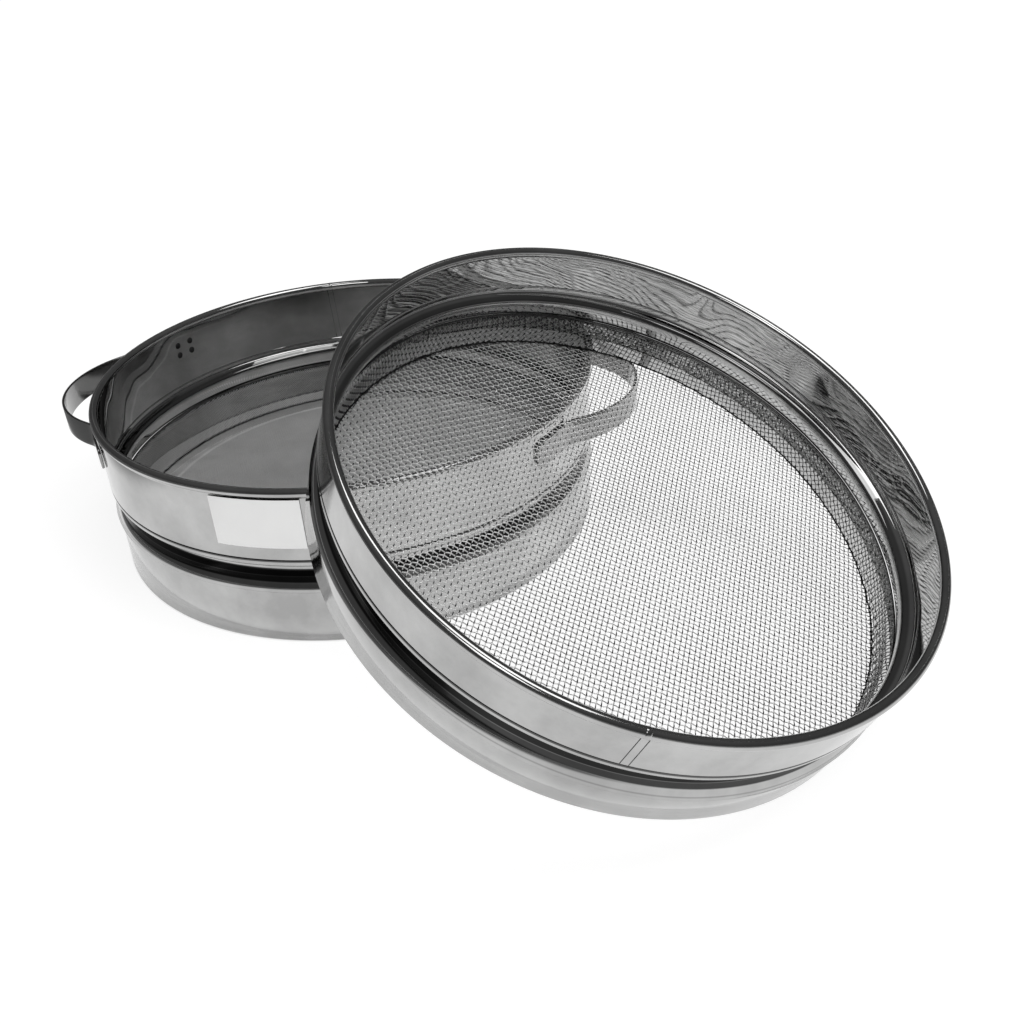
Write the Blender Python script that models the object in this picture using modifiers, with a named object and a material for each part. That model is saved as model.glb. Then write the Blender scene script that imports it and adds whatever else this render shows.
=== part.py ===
"""Two-stage mesh strainer: a fine sieve that stands flat and a coarse sieve that leans on its rim."""
from math import asin, atan2, cos, degrees, hypot, pi, radians, sin, sqrt, tau

import bmesh
import bpy
from mathutils import Matrix, Vector

MM = 0.001

# Clearances between pieces that touch
SEAT_GAP = 0.3 * MM
REST_GAP = 0.35 * MM

# Sheet steel hoops, alike on both sieves
RIM_RADIUS = 120.0 * MM
RIM_BEAD_RADIUS = 2.0 * MM
SHEET = 0.6 * MM
BAND_INSET = 1.2 * MM
NECK_DROP = 2.2 * MM
CURL_SWEEP = radians(300)
CURL_START = radians(-50)
CURL_SEGMENTS = 7
HOOP_STEPS = 48

# Pressed groove between the upper and the lower hoop, measured down from the crease
RIDGE_INSET = 4.2 * MM
RIDGE_DROP = 5.2 * MM
RIDGE_NOSE = 1.0 * MM
FLARE_KNEE_INSET = 2.3 * MM
FLARE_KNEE_DROP = 11.5 * MM
FLARE_DROP = 15.3 * MM
FLARE_LAP = 0.45 * MM
LIP_LENGTH = 3.0 * MM

# Heights of the fine sieve, from the edge that it stands on
FINE_HEIGHT = 76.5 * MM
FINE_CREASE = 41.5 * MM
FINE_FLOOR = 5.9 * MM

# Heights of the coarse sieve, from its base edge
COARSE_HEIGHT = 52.0 * MM
COARSE_CREASE = 30.5 * MM
COARSE_FLOOR = 2.1 * MM

# Formed mesh pans
PAN_WALL = 0.5 * MM
PAN_CORNER = 2.0 * MM
PAN_SKIRT_GAP = 2.0 * MM
FINE_NET_PITCH = 19.0 * MM
FINE_NET_BAR = 3.0 * MM
FINE_NET_TURN = radians(12)
COARSE_NET_PITCH = 19.0 * MM
COARSE_NET_BAR = 2.4 * MM
COARSE_NET_TURN = radians(26.5)
NET_BORDER = 3.5 * MM
NET_PLATE = 0.6 * MM
GAP_REACH = 0.1

# Strap handles of the fine sieve
HANDLE_REACH = 22.0 * MM
HANDLE_BOW_RADIUS = 48.0 * MM
HANDLE_FILLET = 14.0 * MM
HANDLE_FOOT_REACH = radians(34.5)
HANDLE_DROP = 14.5 * MM
STRAP_HEIGHT = 12.4 * MM
STRAP_THICKNESS = 1.2 * MM
STRAP_STEP = 4.5 * MM
FOOT_CORNER = 4.2 * MM
HANDLE_AZIMUTHS = {"handle_left": radians(123), "handle_right": radians(-57)}

# Spot welds that hold the feet of the handles
WELD_RADIUS = 1.3 * MM
WELD_THICKNESS = 0.4 * MM
WELD_FROM_END = 12.0 * MM
WELD_SPACING_ROUND = 8.4 * MM
WELD_SPACING_UP = 5.4 * MM

# Blank stick-on label on the band of the fine sieve
LABEL_AZIMUTH = radians(-152.8)
LABEL_LENGTH = 39.5 * MM
LABEL_HEIGHT = 23.1 * MM
LABEL_TOP_DROP = 4.7 * MM
LABEL_THICKNESS = 0.2 * MM

# Where the coarse sieve's base edge meets the table, from the fine sieve's axis
LEAN_REACH = 277.2 * MM
LEAN_OFFSET = -27.2 * MM

# Radii that follow from the rim
BAND_RADIUS = RIM_RADIUS - BAND_INSET - SHEET / 2
CURL_RADIUS = RIM_BEAD_RADIUS - SHEET / 2
CURL_CENTRE = RIM_RADIUS - RIM_BEAD_RADIUS
SKIRT_RADIUS = BAND_RADIUS - SHEET
FLARE_RADIUS = SKIRT_RADIUS + SHEET + FLARE_LAP
PAN_RADIUS = SKIRT_RADIUS - SHEET / 2 - PAN_SKIRT_GAP - PAN_WALL / 2
NET_RADIUS = PAN_RADIUS - PAN_WALL / 2 - PAN_CORNER - SEAT_GAP
HANDLE_MIDDLE = FINE_HEIGHT - HANDLE_DROP
FACET_SHRINK = cos(pi / HOOP_STEPS)


def arc(centre, radius, start, sweep, segments):
    """Points on an arc, from its start angle through its sweep."""
    angles = [start + sweep * i / segments for i in range(segments + 1)]
    return [(centre[0] + radius * cos(a), centre[1] + radius * sin(a)) for a in angles]


def upper_hoop_profile(height, crease):
    """Centre line of the upper hoop's sheet: rolled rim, plain band, pressed groove and flared edge."""
    curl_centre = (CURL_CENTRE, height - RIM_BEAD_RADIUS)
    curl = arc(curl_centre, CURL_RADIUS, CURL_START + CURL_SWEEP, -CURL_SWEEP, CURL_SEGMENTS)
    neck = (BAND_RADIUS, height - RIM_BEAD_RADIUS - NECK_DROP)
    groove = [
        (BAND_RADIUS, crease),
        (BAND_RADIUS - RIDGE_INSET, crease - RIDGE_DROP + RIDGE_NOSE),
        (BAND_RADIUS - RIDGE_INSET, crease - RIDGE_DROP - RIDGE_NOSE),
        (BAND_RADIUS - FLARE_KNEE_INSET, crease - FLARE_KNEE_DROP),
        (FLARE_RADIUS, crease - FLARE_DROP),
    ]
    return curl + [neck] + groove


def lower_hoop_profile(crease):
    """Centre line of the skirt: a lip that lies under the flare, then the plain wall down to the base edge."""
    knee = Vector((BAND_RADIUS - FLARE_KNEE_INSET, crease - FLARE_KNEE_DROP))
    edge = Vector((FLARE_RADIUS, crease - FLARE_DROP))
    along = (knee - edge).normalized()
    inward = Vector((-along.y, along.x))
    start = edge + inward * (SHEET + SEAT_GAP)
    corner = start + along * (SKIRT_RADIUS - start.x) / along.x
    lip_end = corner + along * LIP_LENGTH
    return [tuple(lip_end), tuple(corner), (SKIRT_RADIUS, 0.0)]


def pan_top(crease):
    """Height where the pan's wall ends, just below the groove that nips it."""
    knee = Vector((BAND_RADIUS - FLARE_KNEE_INSET, crease - FLARE_KNEE_DROP))
    ridge = Vector((BAND_RADIUS - RIDGE_INSET, crease - RIDGE_DROP - RIDGE_NOSE))
    along = (ridge - knee).normalized()
    outer = PAN_RADIUS + PAN_WALL / 2
    level = knee.y + along.y * (outer - knee.x) / along.x
    return level - (SHEET / 2 + SEAT_GAP) / -along.x


def pan_side_profile(crease, floor):
    """Centre line of the pan's wall and of the rounded corner where the wires bend into the floor."""
    corner = arc((PAN_RADIUS - PAN_CORNER, floor + PAN_CORNER), PAN_CORNER, 0.0, -pi / 2, 3)
    return [(PAN_RADIUS, pan_top(crease))] + corner


def new_object(name, mesh, material, parent, shade_flat=False):
    """Put a mesh into the strainer's collection, with its material and under its sieve."""
    obj = bpy.data.objects.new(name, mesh)
    mesh.materials.append(material)
    if not shade_flat:
        mesh.shade_smooth()
    parts.objects.link(obj)
    obj.parent = parent
    return obj


def polyline_mesh(name, points):
    """An open line of edges, for a Screw modifier to turn."""
    mesh = bpy.data.meshes.new(name)
    edges = [(i, i + 1) for i in range(len(points) - 1)]
    mesh.from_pydata([(x, 0.0, z) for x, z in points], edges, [])
    return mesh


def add_turned_sheet(name, profile, thickness, material, parent, angle=tau, steps=HOOP_STEPS):
    """A sheet piece turned round its sieve's axis from an open centre line."""
    obj = new_object(name, polyline_mesh(name, profile), material, parent)
    turn = obj.modifiers.new("Turn", "SCREW")
    turn.axis = "Z"
    turn.angle = angle
    turn.steps = steps
    turn.render_steps = steps
    turn.use_smooth_shade = True
    turn.use_merge_vertices = angle == tau
    turn.merge_threshold = 0.00001
    skin = obj.modifiers.new("Sheet", "SOLIDIFY")
    skin.thickness = thickness
    skin.offset = 0.0
    return obj


def disc_mesh(name, radius, depth):
    """A closed round plate on the sieve's axis, with the hoops' own facets."""
    mesh = bpy.data.meshes.new(name)
    bm = bmesh.new()
    bmesh.ops.create_cone(
        bm, cap_ends=True, segments=HOOP_STEPS, radius1=radius, radius2=radius, depth=depth
    )
    bm.to_mesh(mesh)
    bm.free()
    return mesh


def new_cutter(name, mesh, parent):
    """A shape that only cuts, kept out of the render."""
    cutter = bpy.data.objects.new(name, mesh)
    cutter.display_type = "WIRE"
    cutter.hide_render = True
    cutters.objects.link(cutter)
    cutter.parent = parent
    return cutter


def gap_grid_mesh(name, pitch, bar, reach, depth):
    """Square gaps on a grid, one for each place whose middle is within reach of the axis."""
    mesh = bpy.data.meshes.new(name)
    count = 2 * int(reach / pitch) + 2
    size = Matrix.Diagonal((pitch - bar, pitch - bar, depth, 1.0))
    bm = bmesh.new()
    for column in range(count):
        for row in range(count):
            x = (column - (count - 1) / 2) * pitch
            y = (row - (count - 1) / 2) * pitch
            if hypot(x, y) < reach:
                bmesh.ops.create_cube(bm, size=1.0, matrix=Matrix.Translation((x, y, 0.0)) @ size)
    bm.to_mesh(mesh)
    bm.free()
    return mesh


def add_net_floor(name, level, pitch, bar, turn, material, parent):
    """The pan's floor: a thin disc with a square lattice of gaps that stands for the woven wires."""
    floor = new_object(name, disc_mesh(name, NET_RADIUS, NET_PLATE), material, parent, shade_flat=True)
    floor.location.z = level
    open_radius = NET_RADIUS - NET_BORDER
    opening = new_cutter(name + "_opening", disc_mesh(name + "_opening", open_radius, 3 * NET_PLATE), floor)
    grid = gap_grid_mesh(name + "_gaps", pitch, bar, open_radius + pitch * GAP_REACH, 4 * NET_PLATE)
    gaps = new_cutter(name + "_gaps", grid, floor)
    gaps.rotation_euler.z = turn
    trim = gaps.modifiers.new("Round edge", "BOOLEAN")
    trim.operation = "INTERSECT"
    trim.object = opening
    cut = floor.modifiers.new("Gaps", "BOOLEAN")
    cut.operation = "DIFFERENCE"
    cut.object = gaps
    return floor


def handle_path():
    """Points along half of the strap in plan, from the bow's tip to the foot's end, with their lengths."""
    foot_radius = BAND_RADIUS + SHEET / 2 + SEAT_GAP + STRAP_THICKNESS / 2
    bow_centre = RIM_RADIUS + HANDLE_REACH - STRAP_THICKNESS / 2 - HANDLE_BOW_RADIUS
    to_hoop = foot_radius + HANDLE_FILLET
    to_bow = HANDLE_BOW_RADIUS + HANDLE_FILLET
    x = (to_hoop**2 - to_bow**2 + bow_centre**2) / (2 * bow_centre)
    y = sqrt(to_hoop**2 - x**2)
    bow_sweep = atan2(y, x - bow_centre)
    leave = atan2(y, x)
    fillet_sweep = bow_sweep - leave

    def run(centre, radius, start, sweep):
        pieces = max(2, round(abs(sweep) * radius / STRAP_STEP))
        return arc(centre, radius, start, sweep, pieces)[1:]

    points = [(bow_centre + HANDLE_BOW_RADIUS, 0.0)]
    points += run((bow_centre, 0.0), HANDLE_BOW_RADIUS, 0.0, bow_sweep)
    points += run((x, y), HANDLE_FILLET, bow_sweep + pi, -fillet_sweep)
    straight_foot = HANDLE_FOOT_REACH - FOOT_CORNER / foot_radius
    points += run((0.0, 0.0), foot_radius, leave, straight_foot - leave)
    heights = [STRAP_HEIGHT / 2] * len(points)
    for turn in (30, 55, 80):
        angle = straight_foot + sin(radians(turn)) * FOOT_CORNER / foot_radius
        points.append((foot_radius * cos(angle), foot_radius * sin(angle)))
        heights.append(STRAP_HEIGHT / 2 - FOOT_CORNER * (1 - cos(radians(turn))))
    return points, heights


def add_handle(name, azimuth, material, parent):
    """One strap handle: a half strap, mirrored over the bow's middle."""
    points, heights = handle_path()
    bm = bmesh.new()
    bmesh.ops.create_grid(bm, x_segments=len(points) - 1, y_segments=1, size=1.0)
    columns = sorted(bm.verts, key=lambda v: (round(v.co.x, 4), v.co.y))
    for index, vertex in enumerate(columns):
        x, y = points[index // 2]
        up = heights[index // 2] if index % 2 else -heights[index // 2]
        vertex.co = (x, y, up)
    mesh = bpy.data.meshes.new(name)
    bm.to_mesh(mesh)
    bm.free()
    strap = new_object(name, mesh, material, parent)
    strap.location.z = HANDLE_MIDDLE
    strap.rotation_euler.z = azimuth
    mirror = strap.modifiers.new("Other half", "MIRROR")
    mirror.use_axis = (False, True, False)
    mirror.merge_threshold = 0.00001
    thick = strap.modifiers.new("Strap", "SOLIDIFY")
    thick.thickness = STRAP_THICKNESS
    thick.offset = 0.0
    return strap


def add_weld(name, azimuth, height, material, parent):
    """One spot weld's nugget, seated on the inside of the band."""
    mesh = bpy.data.meshes.new(name)
    bm = bmesh.new()
    bmesh.ops.create_cone(
        bm, cap_ends=True, segments=12, radius1=WELD_RADIUS, radius2=WELD_RADIUS, depth=WELD_THICKNESS
    )
    bm.to_mesh(mesh)
    bm.free()
    weld = new_object(name, mesh, material, parent, shade_flat=True)
    radius = (BAND_RADIUS - SHEET / 2) * FACET_SHRINK - SEAT_GAP - WELD_THICKNESS / 2
    weld.location = (radius * cos(azimuth), radius * sin(azimuth), height)
    weld.rotation_euler = (0.0, pi / 2, azimuth)
    return weld


def add_handle_welds(handle_name, azimuth, material, parent):
    """Two by two spot welds in each foot of a handle."""
    wall = BAND_RADIUS - SHEET / 2
    middle = HANDLE_FOOT_REACH - WELD_FROM_END / wall
    for foot, side in (("a", 1), ("b", -1)):
        number = 0
        for across in (-0.5, 0.5):
            for up in (-0.5, 0.5):
                number += 1
                turn = azimuth + side * (middle + across * WELD_SPACING_ROUND / wall)
                height = HANDLE_MIDDLE + up * WELD_SPACING_UP
                side_name = handle_name.replace("handle_", "weld_")
                add_weld(f"{side_name}_{foot}{number}", turn, height, material, parent)


def add_label(material, parent):
    """The blank label: a thin film that follows the band."""
    inner = BAND_RADIUS + SHEET / 2 + SEAT_GAP
    radius = inner + LABEL_THICKNESS / 2
    top = FINE_HEIGHT - LABEL_TOP_DROP
    profile = [(radius, top), (radius, top - LABEL_HEIGHT)]
    sweep = LABEL_LENGTH / radius
    label = add_turned_sheet(
        "label_blank", profile, LABEL_THICKNESS, material, parent, angle=sweep, steps=8
    )
    label.rotation_euler.z = LABEL_AZIMUTH - sweep / 2
    return label


def steel(name, color, roughness, metallic=1.0):
    """A Principled material in the part's own colour."""
    material = bpy.data.materials.new(name)
    material.use_nodes = True
    shader = material.node_tree.nodes["Principled BSDF"]
    shader.inputs["Base Color"].default_value = (*color, 1.0)
    shader.inputs["Roughness"].default_value = roughness
    shader.inputs["Metallic"].default_value = metallic
    return material


def new_frame(name, parent=None):
    """An empty that carries one sieve."""
    empty = bpy.data.objects.new(name, None)
    empty.empty_display_size = RIM_RADIUS / 2
    parts.objects.link(empty)
    empty.parent = parent
    return empty


def lean_pose():
    """Base centre and tilt of the coarse sieve: edge on the table, mesh floor on the fine sieve's rim."""
    bead_height = FINE_HEIGHT - RIM_BEAD_RADIUS
    reach = LEAN_REACH - CURL_CENTRE
    underside = COARSE_FLOOR - NET_PLATE / 2
    away = RIM_BEAD_RADIUS + REST_GAP - underside
    tilt = asin(away / hypot(reach, bead_height)) + atan2(bead_height, reach)
    edge = SKIRT_RADIUS + SHEET / 2
    centre = Vector((LEAN_OFFSET, -LEAN_REACH + edge * cos(tilt), edge * sin(tilt)))
    return centre, tilt


def add_sieve(name, height, crease, floor, net, parent):
    """The pieces that both sieves have: two hoops and the two parts of the mesh pan."""
    pitch, bar, turn = net
    hoop = steel(name + "_steel", (0.62, 0.62, 0.61), 0.28)
    wire = steel(name + "_wire", (0.50, 0.50, 0.49), 0.35)
    add_turned_sheet(name + "_upper_hoop", upper_hoop_profile(height, crease), SHEET, hoop, parent)
    add_turned_sheet(name + "_lower_hoop", lower_hoop_profile(crease), SHEET, hoop, parent)
    add_turned_sheet(name + "_mesh_side", pan_side_profile(crease, floor), PAN_WALL, wire, parent)
    add_net_floor(name + "_mesh_floor", floor, pitch, bar, turn, wire, parent)


def lowest_centre(objects):
    """Middle of the box round all pieces in plan, at the height of its lowest face."""
    bpy.context.view_layer.update()
    graph = bpy.context.evaluated_depsgraph_get()
    corners = []
    for obj in objects:
        shape = obj.evaluated_get(graph)
        corners += [shape.matrix_world @ v.co for v in shape.data.vertices]
    low = Vector([min(c[i] for c in corners) for i in range(3)])
    high = Vector([max(c[i] for c in corners) for i in range(3)])
    return Vector(((low.x + high.x) / 2, (low.y + high.y) / 2, low.z))


for old in list(bpy.data.objects):
    bpy.data.objects.remove(old)

parts = bpy.data.collections.new("mesh_strainer")
cutters = bpy.data.collections.new("cutters")
bpy.context.scene.collection.children.link(parts)
bpy.context.scene.collection.children.link(cutters)

strainer = new_frame("strainer")
fine = new_frame("fine_sieve", strainer)
coarse = new_frame("coarse_sieve", strainer)
coarse_centre, coarse_tilt = lean_pose()
coarse.location = coarse_centre
coarse.rotation_euler.x = coarse_tilt

fine_net = (FINE_NET_PITCH, FINE_NET_BAR, FINE_NET_TURN)
coarse_net = (COARSE_NET_PITCH, COARSE_NET_BAR, COARSE_NET_TURN)
add_sieve("fine", FINE_HEIGHT, FINE_CREASE, FINE_FLOOR, fine_net, fine)
add_sieve("coarse", COARSE_HEIGHT, COARSE_CREASE, COARSE_FLOOR, coarse_net, coarse)

strap_steel = steel("strap_steel", (0.58, 0.58, 0.57), 0.30)
weld_steel = steel("weld_steel", (0.16, 0.16, 0.16), 0.45)
label_film = steel("label_film", (0.82, 0.82, 0.81), 0.35, metallic=0.0)
for handle_name, handle_azimuth in HANDLE_AZIMUTHS.items():
    add_handle(handle_name, handle_azimuth, strap_steel, fine)
    add_handle_welds(handle_name, handle_azimuth, weld_steel, fine)
add_label(label_film, fine)

pieces = [obj for obj in parts.objects if obj.type == "MESH"]
strainer.location = -lowest_centre(pieces)
bpy.context.view_layer.update()
print("coarse sieve tilt", round(degrees(coarse_tilt), 3), "pieces", len(pieces))
print("frame shift", [round(value / MM, 3) for value in strainer.location])
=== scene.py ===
"""Looks of the two-stage mesh strainer: polished hoops, woven pans, strap handles and studio light."""
from math import asin, atan2, cos, hypot, pi, radians, sin, sqrt, tau

import bpy
import numpy as np
from mathutils import Matrix, Vector


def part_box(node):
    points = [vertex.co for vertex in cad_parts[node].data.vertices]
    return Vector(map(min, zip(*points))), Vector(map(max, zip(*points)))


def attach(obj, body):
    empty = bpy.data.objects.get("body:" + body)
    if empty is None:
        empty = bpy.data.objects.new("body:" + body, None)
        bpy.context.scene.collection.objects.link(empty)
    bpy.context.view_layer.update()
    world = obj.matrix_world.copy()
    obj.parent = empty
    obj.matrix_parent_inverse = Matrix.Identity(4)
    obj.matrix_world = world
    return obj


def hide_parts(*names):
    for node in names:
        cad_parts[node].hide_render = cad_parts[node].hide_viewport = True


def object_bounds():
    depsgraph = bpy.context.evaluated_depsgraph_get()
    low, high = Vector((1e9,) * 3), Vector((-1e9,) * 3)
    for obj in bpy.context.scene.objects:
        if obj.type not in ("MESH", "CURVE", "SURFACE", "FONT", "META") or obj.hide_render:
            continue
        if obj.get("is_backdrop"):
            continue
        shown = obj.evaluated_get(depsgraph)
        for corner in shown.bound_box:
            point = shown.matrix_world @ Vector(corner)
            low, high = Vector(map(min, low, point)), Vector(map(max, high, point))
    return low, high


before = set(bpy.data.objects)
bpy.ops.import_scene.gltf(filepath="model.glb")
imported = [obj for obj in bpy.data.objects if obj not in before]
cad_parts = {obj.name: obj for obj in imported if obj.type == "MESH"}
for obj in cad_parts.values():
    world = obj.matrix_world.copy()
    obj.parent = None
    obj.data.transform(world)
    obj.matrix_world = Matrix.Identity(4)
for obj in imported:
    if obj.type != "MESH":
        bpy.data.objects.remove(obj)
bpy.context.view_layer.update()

MM = 0.001

# Sheet steel, alike on both sieves
RIM_RADIUS = 120.0 * MM
BEAD_RADIUS = 2.0 * MM
SHEET = 0.6 * MM
BAND_RADIUS = 118.5 * MM
SKIRT_RADIUS = BAND_RADIUS - SHEET
NECK_DROP = 2.2 * MM
RIDGE_INSET = 4.2 * MM
RIDGE_DROP = 5.2 * MM
RIDGE_NOSE = 1.3 * MM
KNEE_INSET = 2.3 * MM
KNEE_DROP = 11.5 * MM
FLARE_DROP = 15.3 * MM
FLARE_RADIUS = SKIRT_RADIUS + SHEET + 0.45 * MM
LIP_LENGTH = 3.0 * MM
SEAT_GAP = 0.3 * MM
HOOP_STEPS = 288

# The scored line over the groove: how deep, and its top, middle and foot above the crease
SCORE_DEPTH = 0.3 * MM
SCORE_TOP, SCORE_MIDDLE, SCORE_FOOT = 1.3 * MM, 0.9 * MM, 0.5 * MM
SHOULDER_DROP = 2.0 * MM
CURL_START, CURL_SWEEP = radians(262), -radians(312)

# Radii of an upper hoop's corners, from the neck under the curl to the flare
HOOP_CORNERS = [1.5 * MM, 0.3 * MM, 0.2 * MM, 0.3 * MM, 2.0 * MM, 2.6 * MM, 4.0 * MM, 6.0 * MM]
LIP_CORNER = 1.0 * MM

# Heights from each sieve's base edge
FINE_HEIGHT, FINE_CREASE, FINE_FLOOR = 76.5 * MM, 41.5 * MM, 5.9 * MM
COARSE_HEIGHT, COARSE_CREASE, COARSE_FLOOR = 52.0 * MM, 30.5 * MM, 2.1 * MM

# Wire cloth
PAN_RADIUS = 115.35 * MM
PAN_CORNER = 1.2 * MM
TUCK_REACH = 2.2 * MM
TUCK_HEIGHT = 3.4 * MM
COARSE_PITCH, COARSE_WIRE = 2.05 * MM, 0.48 * MM
FINE_PITCH, FINE_WIRE = 0.9 * MM, 0.26 * MM
COARSE_TURN, FINE_TURN = radians(26.5), radians(12)
COARSE_WAVE, FINE_WAVE = 0.5 * MM, 0.25 * MM
CLOTH_OVERLAP = 0.7 * MM
CRIMP = 0.7 * MM
CRIMP_HEIGHT = 3.0 * MM
CRIMPS = 150
# Radius of the painted highlight ring on the fine cloth's floor
HIGHLIGHT_RING = 105.0 * MM
FOLD_INSET = 0.3 * MM
FOLD_WIDTH = 0.7 * MM
FOLD_WAVE = 0.15 * MM
FOLD_STEPS = 1440
MOST_FACES = 95000

# Slow waves in a cloth's floor, calm near its edge, and folds that run in from its bend
RIPPLE_U, RIPPLE_V, RIPPLE_ACROSS = 17 * MM, 23 * MM, 11 * MM
CALM_EDGE, CALM_REACH = 12 * MM, 25 * MM
FOLD = 0.5 * MM
FOLDS = 40
FOLD_TURN, FOLD_FADE, FOLD_FOOT = 5 * MM, 9 * MM, 3 * MM

# Weave: how far a wire stands off, in wires; above what lift its tops take painted shade; how far it
# drifts, in pitches
WEAVE_LIFT, SHADED_KNUCKLE_ABOVE = 0.52, 0.3
DRIFT, DRIFT_LENGTH = 0.02, 9 * MM
WARP_SEED, WEFT_SEED = 11, 12

# Strap handles and the spot welds in their feet
HANDLE_REACH = 22.0 * MM
BOW_RADIUS = 48.0 * MM
BOW_FILLET = 14.0 * MM
FOOT_REACH = radians(34.5)
HANDLE_MIDDLE = 62.0 * MM
STRAP_HEIGHT = 12.4 * MM
STRAP = 1.2 * MM
STRAP_EDGE = 0.5 * MM
FOOT_CORNER = 4.2 * MM
HANDLE_AZIMUTHS = {"handle_left": radians(123), "handle_right": radians(-57)}
DIMPLE_RADIUS = 1.75 * MM
DIMPLE_SINK = 0.06 * MM
WELD_FROM_END = 12.0 * MM
WELD_SPACING_ROUND = 8.4 * MM
WELD_SPACING_UP = 5.4 * MM

# A dimple from its middle outward and round to its back: share of its radius, millimetres of rise
DIMPLE_PROFILE = (
    (0.02, 0.02), (0.35, 0.0), (0.6, 0.05), (0.78, 0.16), (0.9, 0.12), (1.0, -0.06), (0.6, -0.1)
)

# Lap seams, where each hoop's sheet is closed
LAP_WIDTH = 2.9 * MM
LAP_LINE = 0.5 * MM
LAP_RISE, LAP_SINK, LAP_ROOT = 0.05 * MM, 0.02 * MM, 0.1 * MM
LAP_SLANT = 0.05
LAP_FOOT, LAP_HEAD = 1.4 * MM, 0.7 * MM
LAP_AZIMUTHS = {"fine": radians(49.5), "coarse": radians(214.4)}

# The closed joint in a rim: millimetres along the rim, millimetres that it stands proud
RIM_JOINT = ((-1.2, -0.02), (-0.5, 0.05), (0.0, 0.07), (0.5, 0.05), (1.2, -0.02))

# Where the coarse sieve leans
LEAN_REACH = 277.2 * MM
LEAN_OFFSET = -27.2 * MM
REST_GAP = 0.35 * MM
FLOOR_PLATE = 0.6 * MM


def lean_pose():
    """Base centre, from the fine sieve's axis, and tilt of the coarse sieve."""
    bead_height = FINE_HEIGHT - BEAD_RADIUS
    reach = LEAN_REACH - (RIM_RADIUS - BEAD_RADIUS)
    away = BEAD_RADIUS + REST_GAP - (COARSE_FLOOR - FLOOR_PLATE / 2)
    tilt = asin(away / hypot(reach, bead_height)) + atan2(bead_height, reach)
    edge = SKIRT_RADIUS + SHEET / 2
    return Vector((LEAN_OFFSET, -LEAN_REACH + edge * cos(tilt), edge * sin(tilt))), tilt


low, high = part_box("fine_lower_hoop")
fine_axis = Vector(((low.x + high.x) / 2, (low.y + high.y) / 2, 0.0))
lean_centre, lean_tilt = lean_pose()
FINE_POSE = Matrix.Translation(fine_axis)
COARSE_POSE = Matrix.Translation(fine_axis + lean_centre) @ Matrix.Rotation(lean_tilt, 4, "X")


# Meshes

def new_mesh(name, points, faces, smooth=True):
    """A mesh from arrays of points and of faces that all have the same number of corners."""
    points = np.asarray(points, np.float32)
    faces = np.asarray(faces, np.int32)
    corners = faces.shape[1]
    mesh = bpy.data.meshes.new(name)
    mesh.vertices.add(len(points))
    mesh.vertices.foreach_set("co", points.ravel())
    mesh.loops.add(faces.size)
    mesh.loops.foreach_set("vertex_index", faces.ravel())
    mesh.polygons.add(len(faces))
    mesh.polygons.foreach_set("loop_start", np.arange(0, faces.size, corners, dtype=np.int32))
    mesh.update(calc_edges=True)
    mesh.validate()
    if smooth:
        mesh.shade_smooth()
    return mesh


def add_piece(name, mesh, pose, material, body, slot, *nodes):
    """One visible piece, drawn in its sieve's own coordinates and put in its place, riding on its body."""
    piece = bpy.data.objects.new(name, mesh)
    bpy.context.scene.collection.objects.link(piece)
    mesh.transform(pose)
    piece.data.materials.append(material)
    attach(piece, body)
    if nodes:
        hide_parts(*nodes)
    return piece


def arc(centre, radius, start, sweep, segments):
    """Points on an arc, from its start angle through its sweep."""
    angles = start + sweep * np.arange(segments + 1) / segments
    return [(centre[0] + radius * cos(a), centre[1] + radius * sin(a)) for a in angles]


def rounded(points, radii, segments=6):
    """The open line through the points, with each inner corner rounded to its radius."""
    line = [points[0]]
    for before, corner, after, radius in zip(points, points[1:], points[2:], radii):
        a, b, c = Vector(before), Vector(corner), Vector(after)
        back, ahead = (a - b).normalized(), (c - b).normalized()
        half = back.angle(ahead) / 2
        longest = 0.49 * min((a - b).length, (c - b).length)
        reach = min(radius / max(abs(np.tan(half)), 1e-6), longest)
        start, end = b + back * reach, b + ahead * reach
        for i in range(segments + 1):
            t = i / segments
            point = start * (1 - t) ** 2 + b * 2 * t * (1 - t) + end * t**2
            line.append(tuple(point))
    return line + [points[-1]]


def sheet_outline(line, thickness):
    """Closed outline of a sheet whose centre line is given, with rounded edges."""
    points = np.array(line)
    steps = np.diff(points, axis=0)
    steps /= np.linalg.norm(steps, axis=1)[:, None]
    along = np.vstack([steps[:1], steps[:-1] + steps[1:], steps[-1:]])
    along /= np.linalg.norm(along, axis=1)[:, None]
    across = np.stack([-along[:, 1], along[:, 0]], 1) * thickness / 2
    first = points[0] - along[0] * thickness * 0.3
    last = points[-1] + along[-1] * thickness * 0.3
    return np.vstack([points + across, last[None], (points - across)[::-1], first[None]])


def turned(name, outline, steps=HOOP_STEPS):
    """A closed outline in (radius, height), turned full circle about the sieve's axis."""
    angles = np.arange(steps) * tau / steps
    count = len(outline)
    radius, height = outline[:, 0], outline[:, 1]
    points = np.empty((steps, count, 3))
    points[:, :, 0] = np.cos(angles)[:, None] * radius
    points[:, :, 1] = np.sin(angles)[:, None] * radius
    points[:, :, 2] = height
    column, row = np.meshgrid(np.arange(steps), np.arange(count), indexing="ij")
    here = column * count + row
    up = column * count + (row + 1) % count
    ahead = ((column + 1) % steps) * count + row
    both = ((column + 1) % steps) * count + (row + 1) % count
    faces = np.stack([here, ahead, both, up], -1).reshape(-1, 4)
    return new_mesh(name, points.reshape(-1, 3), faces)


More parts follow.
